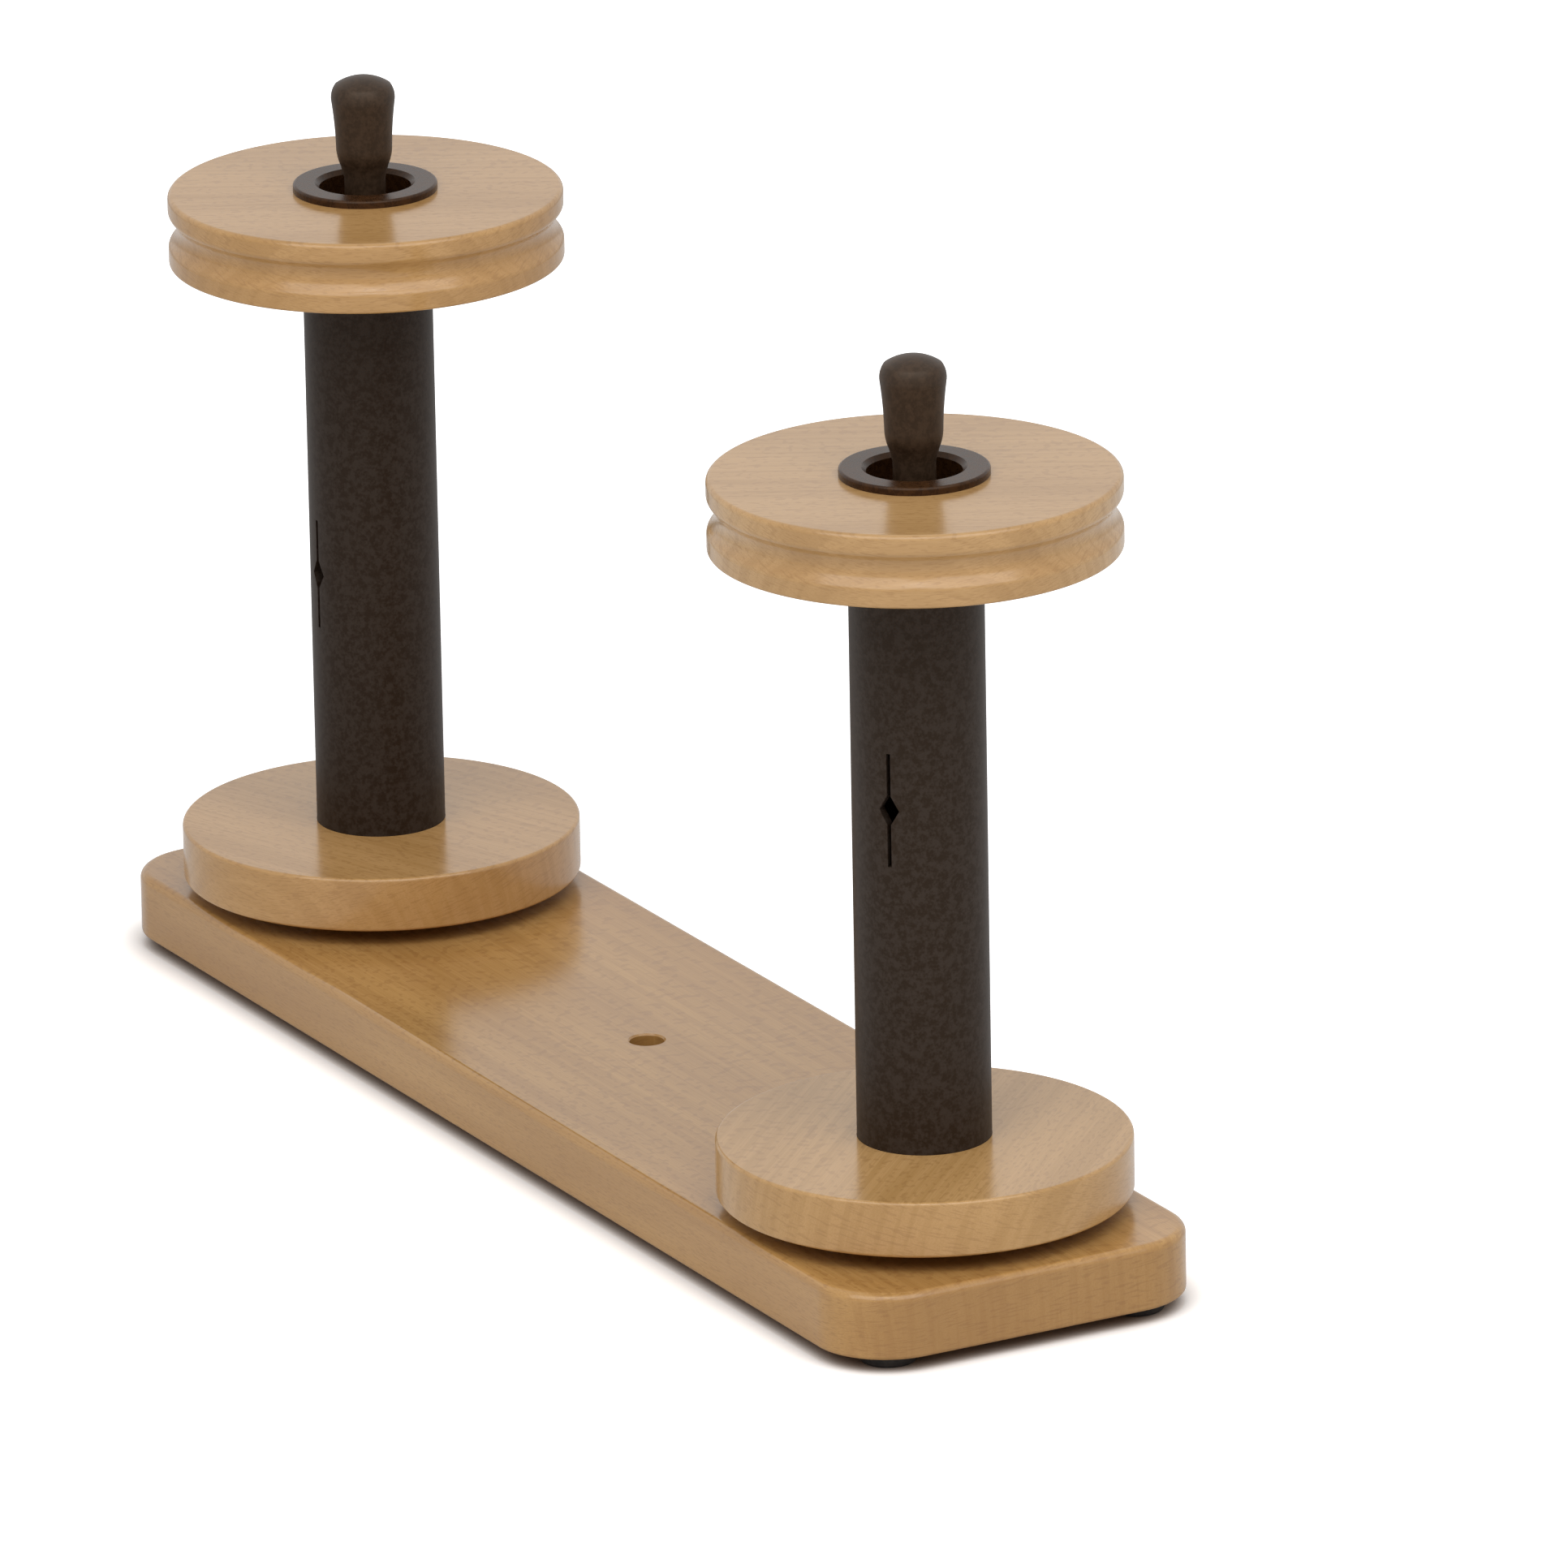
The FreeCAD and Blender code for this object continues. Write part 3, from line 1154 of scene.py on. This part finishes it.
@dataclass(frozen=True)
class Spindle:
    """A steel rod with a moulded knob, which lifts out of the board."""

    side: Side
    rod_chamfer: float = 0.6 * MM
    dome_radius: float = 8.3 * MM
    dome_height: float = 2.6 * MM
    crown_radius: float = 9.4 * MM
    crown_drop: float = 7.6 * MM
    shoulder_bulge: float = 0.5 * MM
    taper_hollow: float = 0.2 * MM
    waist_radius: float = 8.3 * MM
    waist_drop: float = 21.8 * MM
    tuck_bulge: float = 0.25 * MM
    tuck_radius: float = 7.15 * MM
    tuck_drop: float = 27.0 * MM
    neck_radius: float = 6.1 * MM
    neck_drop: float = 31.0 * MM
    foot_round: float = 0.5 * MM
    bore_radius: float = 5.05 * MM

    @property
    def body(self) -> str:
        """The CAD body of this spindle."""
        return f"{self.side.value}_spindle"

    def rod(self, steel: Material) -> None:
        """Make the rod with its chamfered ends.

        Args:
            steel: its material.
        """
        node = f"{self.side.value}_spindle_rod"
        low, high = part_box(node)
        radius = (high.x - low.x) / 2
        outline = [
            Corner(0, low.z),
            Corner(radius - self.rod_chamfer, low.z),
            Corner(radius, low.z + self.rod_chamfer),
            Corner(radius, high.z - self.rod_chamfer),
            Corner(radius - self.rod_chamfer, high.z),
            Corner(0, high.z),
        ]
        piece = turn(f"{self.side.value}_rod", outline, axis_of(node), steps=SMALL_TURN_STEPS)
        dress(piece, steel, node, self.body)

    def knob(self, plastic: Material) -> None:
        """Make the domed, tapering knob that is bonded on the rod.

        Args:
            plastic: its material.
        """
        node = f"{self.side.value}_spindle_knob"
        low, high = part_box(node)
        rod_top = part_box(f"{self.side.value}_spindle_rod")[1].z
        chord = math.hypot(self.dome_radius, self.dome_height)
        sphere = chord ** 2 / (2 * self.dome_height)
        dome_bulge = sphere - math.sqrt(sphere ** 2 - (chord / 2) ** 2)
        outline = [
            Corner(0, high.z),
            Corner(self.dome_radius, high.z - self.dome_height, bulge=dome_bulge),
            Corner(self.crown_radius, high.z - self.crown_drop, bulge=self.shoulder_bulge),
            Corner(self.waist_radius, high.z - self.waist_drop, bulge=-self.taper_hollow),
            Corner(self.tuck_radius, high.z - self.tuck_drop, bulge=self.tuck_bulge),
            Corner(self.neck_radius, high.z - self.neck_drop),
            Corner(self.neck_radius, low.z, rounding=self.foot_round),
            Corner(self.bore_radius, low.z),
            Corner(self.bore_radius, rod_top),
            Corner(0, rod_top),
        ]
        piece = turn(f"{self.side.value}_knob", outline, axis_of(node), steps=SMALL_TURN_STEPS)
        dress(piece, plastic, node, self.body)

    def build(self, steel: Material, plastic: Material) -> None:
        """Make the rod from the steel and the knob from the plastic."""
        self.rod(steel)
        self.knob(plastic)


# ---- studio


@dataclass(frozen=True)
class Lamp:
    """A square soft light that looks at the object."""

    name: str
    azimuth: float
    elevation: float
    distance: float
    size: float
    power: float

    def build(self, target: Vector) -> None:
        """Put the lamp in the scene.

        Args:
            target: the point it looks at.
        """
        light = bpy.data.lights.new(self.name, "AREA")
        light.shape = "SQUARE"
        light.size = self.size
        light.energy = self.power
        lamp = bpy.data.objects.new(self.name, light)
        towards = direction(self.azimuth, self.elevation)
        lamp.location = target + towards * self.distance
        lamp.rotation_euler = towards.to_track_quat("Z", "Y").to_euler()
        lamp.visible_camera = False
        bpy.context.scene.collection.objects.link(lamp)


def direction(azimuth: float, elevation: float) -> Vector:
    """Point from the object towards a viewer.

    Args:
        azimuth: degrees round the object, 0 in front of its long side and 90 at its right end.
        elevation: degrees above the horizon.

    Returns:
        A unit vector.
    """
    turn_angle = math.radians(azimuth)
    rise = math.radians(elevation)
    flat = math.cos(rise)
    return Vector((math.sin(turn_angle) * flat, -math.cos(turn_angle) * flat, math.sin(rise)))


@dataclass(frozen=True)
class Studio:
    """Pale floor, white surroundings, soft lamps and the camera."""

    camera_azimuth: float = 61.54
    camera_elevation: float = 18.31
    camera_roll: float = -1.02
    camera_distance: float = 5.036
    camera_lens: float = 399.81
    aim_height: float = 155.5 * MM
    shift_right: float = 42.23 * MM
    shift_up: float = -50.75 * MM
    clip_end: float = 100.0
    floor_size: float = 14.0
    floor_albedo: float = 0.85
    floor_seen: float = 1.8
    floor_seen_far: float = 4.0
    floor_fade: tuple[float, float] = (0.5, 2.5)
    # Painted shade on the floor under and beside the object: how far it reaches, and its tone.
    painted_shade_reach: float = 14 * MM
    painted_shade_tone: str = "#876C54"
    ambient: float = 0.42
    lamps: tuple[Lamp, ...] = (
        Lamp("left_softbox", azimuth=32, elevation=48, distance=3.2, size=2.6, power=43.0),
        Lamp("right_softbox", azimuth=96, elevation=48, distance=3.2, size=2.6, power=43.0),
    )

    def camera(self) -> None:
        """Place the camera with its small roll."""
        data = bpy.data.cameras.new("camera")
        data.lens = self.camera_lens
        data.clip_end = self.clip_end
        camera = bpy.data.objects.new("camera", data)
        back = direction(self.camera_azimuth, self.camera_elevation)
        level = Vector((-back.y, back.x, 0)).normalized()
        upwards = back.cross(level)
        roll = math.radians(self.camera_roll)
        right = level * math.cos(roll) + upwards * math.sin(roll)
        up = upwards * math.cos(roll) - level * math.sin(roll)
        place = Vector((0, 0, self.aim_height)) + back * self.camera_distance
        place += right * self.shift_right + up * self.shift_up
        turned = Matrix((right, up, back)).transposed()
        camera.matrix_world = Matrix.Translation(place) @ turned.to_4x4()
        bpy.context.scene.collection.objects.link(camera)
        bpy.context.scene.camera = camera

    def seen_background(self, tree: NodeTree) -> NodeSocket:
        """Tell rays that show the background from those that light the object.

        Args:
            tree: a node tree.

        Returns:
            1 for camera, glossy and transmission rays, 0 for the others.
        """
        path = put(tree, "ShaderNodeLightPath")
        seen = path.outputs["Is Camera Ray"]
        for kind in ("Is Glossy Ray", "Is Transmission Ray"):
            rays = {0: seen, 1: path.outputs[kind]}
            seen = put(tree, "ShaderNodeMath", rays, operation="MAXIMUM").outputs[0]
        return seen

    def surroundings(self) -> None:
        """Make the world white to the eye and a soft even light on the object."""
        world = bpy.data.worlds.new("white_studio")
        world.use_nodes = True
        tree = world.node_tree
        tree.nodes.clear()
        strength = put(
            tree,
            "ShaderNodeMapRange",
            {"Value": self.seen_background(tree), "To Min": self.ambient, "To Max": 1.0},
        )
        sky = put(
            tree,
            "ShaderNodeBackground",
            {"Color": linear("#FFFFFF"), "Strength": strength.outputs["Result"]},
        )
        put(tree, "ShaderNodeOutputWorld", {"Surface": sky.outputs["Background"]})
        bpy.context.scene.world = world

    def paper(self) -> Material:
        """Make the floor's white paper, with painted shade: a warm brown tone laid on by ambient
        occlusion where the object nearly touches it.

        Its seen tone rises away from the object, so that its far edge is white like the world.

        Returns:
            The material.
        """
        material, tree = new_material("white_paper_floor")
        plain = put(
            tree,
            "ShaderNodeMapRange",
            {"Value": self.seen_background(tree), "To Min": self.floor_albedo, "To Max": 1.0},
        )
        place = put(tree, "ShaderNodeTexCoord").outputs["Object"]
        away = put(tree, "ShaderNodeVectorMath", {0: place}, operation="LENGTH")
        near, far = self.floor_fade
        bright = put(
            tree,
            "ShaderNodeMapRange",
            {
                "Value": away.outputs["Value"],
                "From Min": near,
                "From Max": far,
                "To Min": self.floor_seen,
                "To Max": self.floor_seen_far,
            },
        )
        tone = put(
            tree,
            "ShaderNodeMapRange",
            {
                "Value": put(tree, "ShaderNodeLightPath").outputs["Is Camera Ray"],
                "To Min": plain.outputs["Result"],
                "To Max": bright.outputs["Result"],
            },
        )
        # Painted shade: the floor turns the warm brown tone where ambient occlusion finds the
        # object close.
        painted_shade_ao = put(tree, "ShaderNodeAmbientOcclusion", {"Distance": self.painted_shade_reach})
        shaded = put(
            tree,
            "ShaderNodeMix",
            {
                "Factor": painted_shade_ao.outputs["AO"],
                "A": linear(self.painted_shade_tone),
                "B": tone.outputs["Result"],
            },
            data_type="RGBA",
        )
        paper = put(tree, "ShaderNodeBsdfDiffuse", {"Color": shaded.outputs["Result"]})
        put(tree, "ShaderNodeOutputMaterial", {"Surface": paper.outputs["BSDF"]})
        return material

    def floor(self) -> None:
        """Lay a pale floor that keeps the object's shadow."""
        shape = bmesh.new()
        bmesh.ops.create_grid(shape, x_segments=1, y_segments=1, size=self.floor_size / 2)
        floor = object_from("floor", shape)
        floor.data.materials.append(self.paper())

    def build(self) -> None:
        """Set up the whole studio."""
        bpy.context.scene.view_settings.view_transform = "Standard"
        self.camera()
        self.surroundings()
        self.floor()
        target = Vector((0, 0, self.aim_height))
        for lamp in self.lamps:
            lamp.build(target)


def main() -> None:
    """Build the lazy kate and its studio."""
    logging.basicConfig(level=logging.INFO, format="%(name)s: %(message)s")
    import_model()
    Studio().build()
    moulded = DarkPlastic(
        "moulded_bush_plastic", "#2E1A0B", "#3D2511", roughness=0.28, specular=0.2
    ).build()
    knob_plastic = DarkPlastic(
        "moulded_knob_plastic", "#2A1D12", "#38291D", roughness=0.46, specular=0.32
    ).build()
    steel = DrawnSteel().build()
    Base().build()
    bobbins = [
        Bobbin(
            Side.LEFT,
            lower_grain=math.radians(20),
            upper_grain=math.radians(61),
            leader_angle=math.radians(-88.8),
            leader_from_bottom=True,
            tube_tone="#1E1209",
            tube_worn_tone="#2D241E",
        ),
        Bobbin(
            Side.RIGHT,
            lower_grain=math.radians(135),
            upper_grain=math.radians(61),
            leader_angle=math.radians(-55.6),
            leader_from_bottom=False,
            tube_tone="#23180F",
            tube_worn_tone="#322923",
            # Painted light: the right bobbin's ends get lighter beech tones, most of all on the end
            # grain of their rims, for the brighter light on this bobbin's sides.
            upper_tones=BeechTones("#C09865", "#A07948", "#8E6539", "#CEAC80"),
            lower_tones=BeechTones("#C49B66", "#A27A43", "#8C6336", "#B58C58"),
        ),
    ]
    for bobbin in bobbins:
        bobbin.build(moulded)
    for side in Side:
        Spindle(side).build(steel, knob_plastic)


if __name__ == "__main__":
    main()
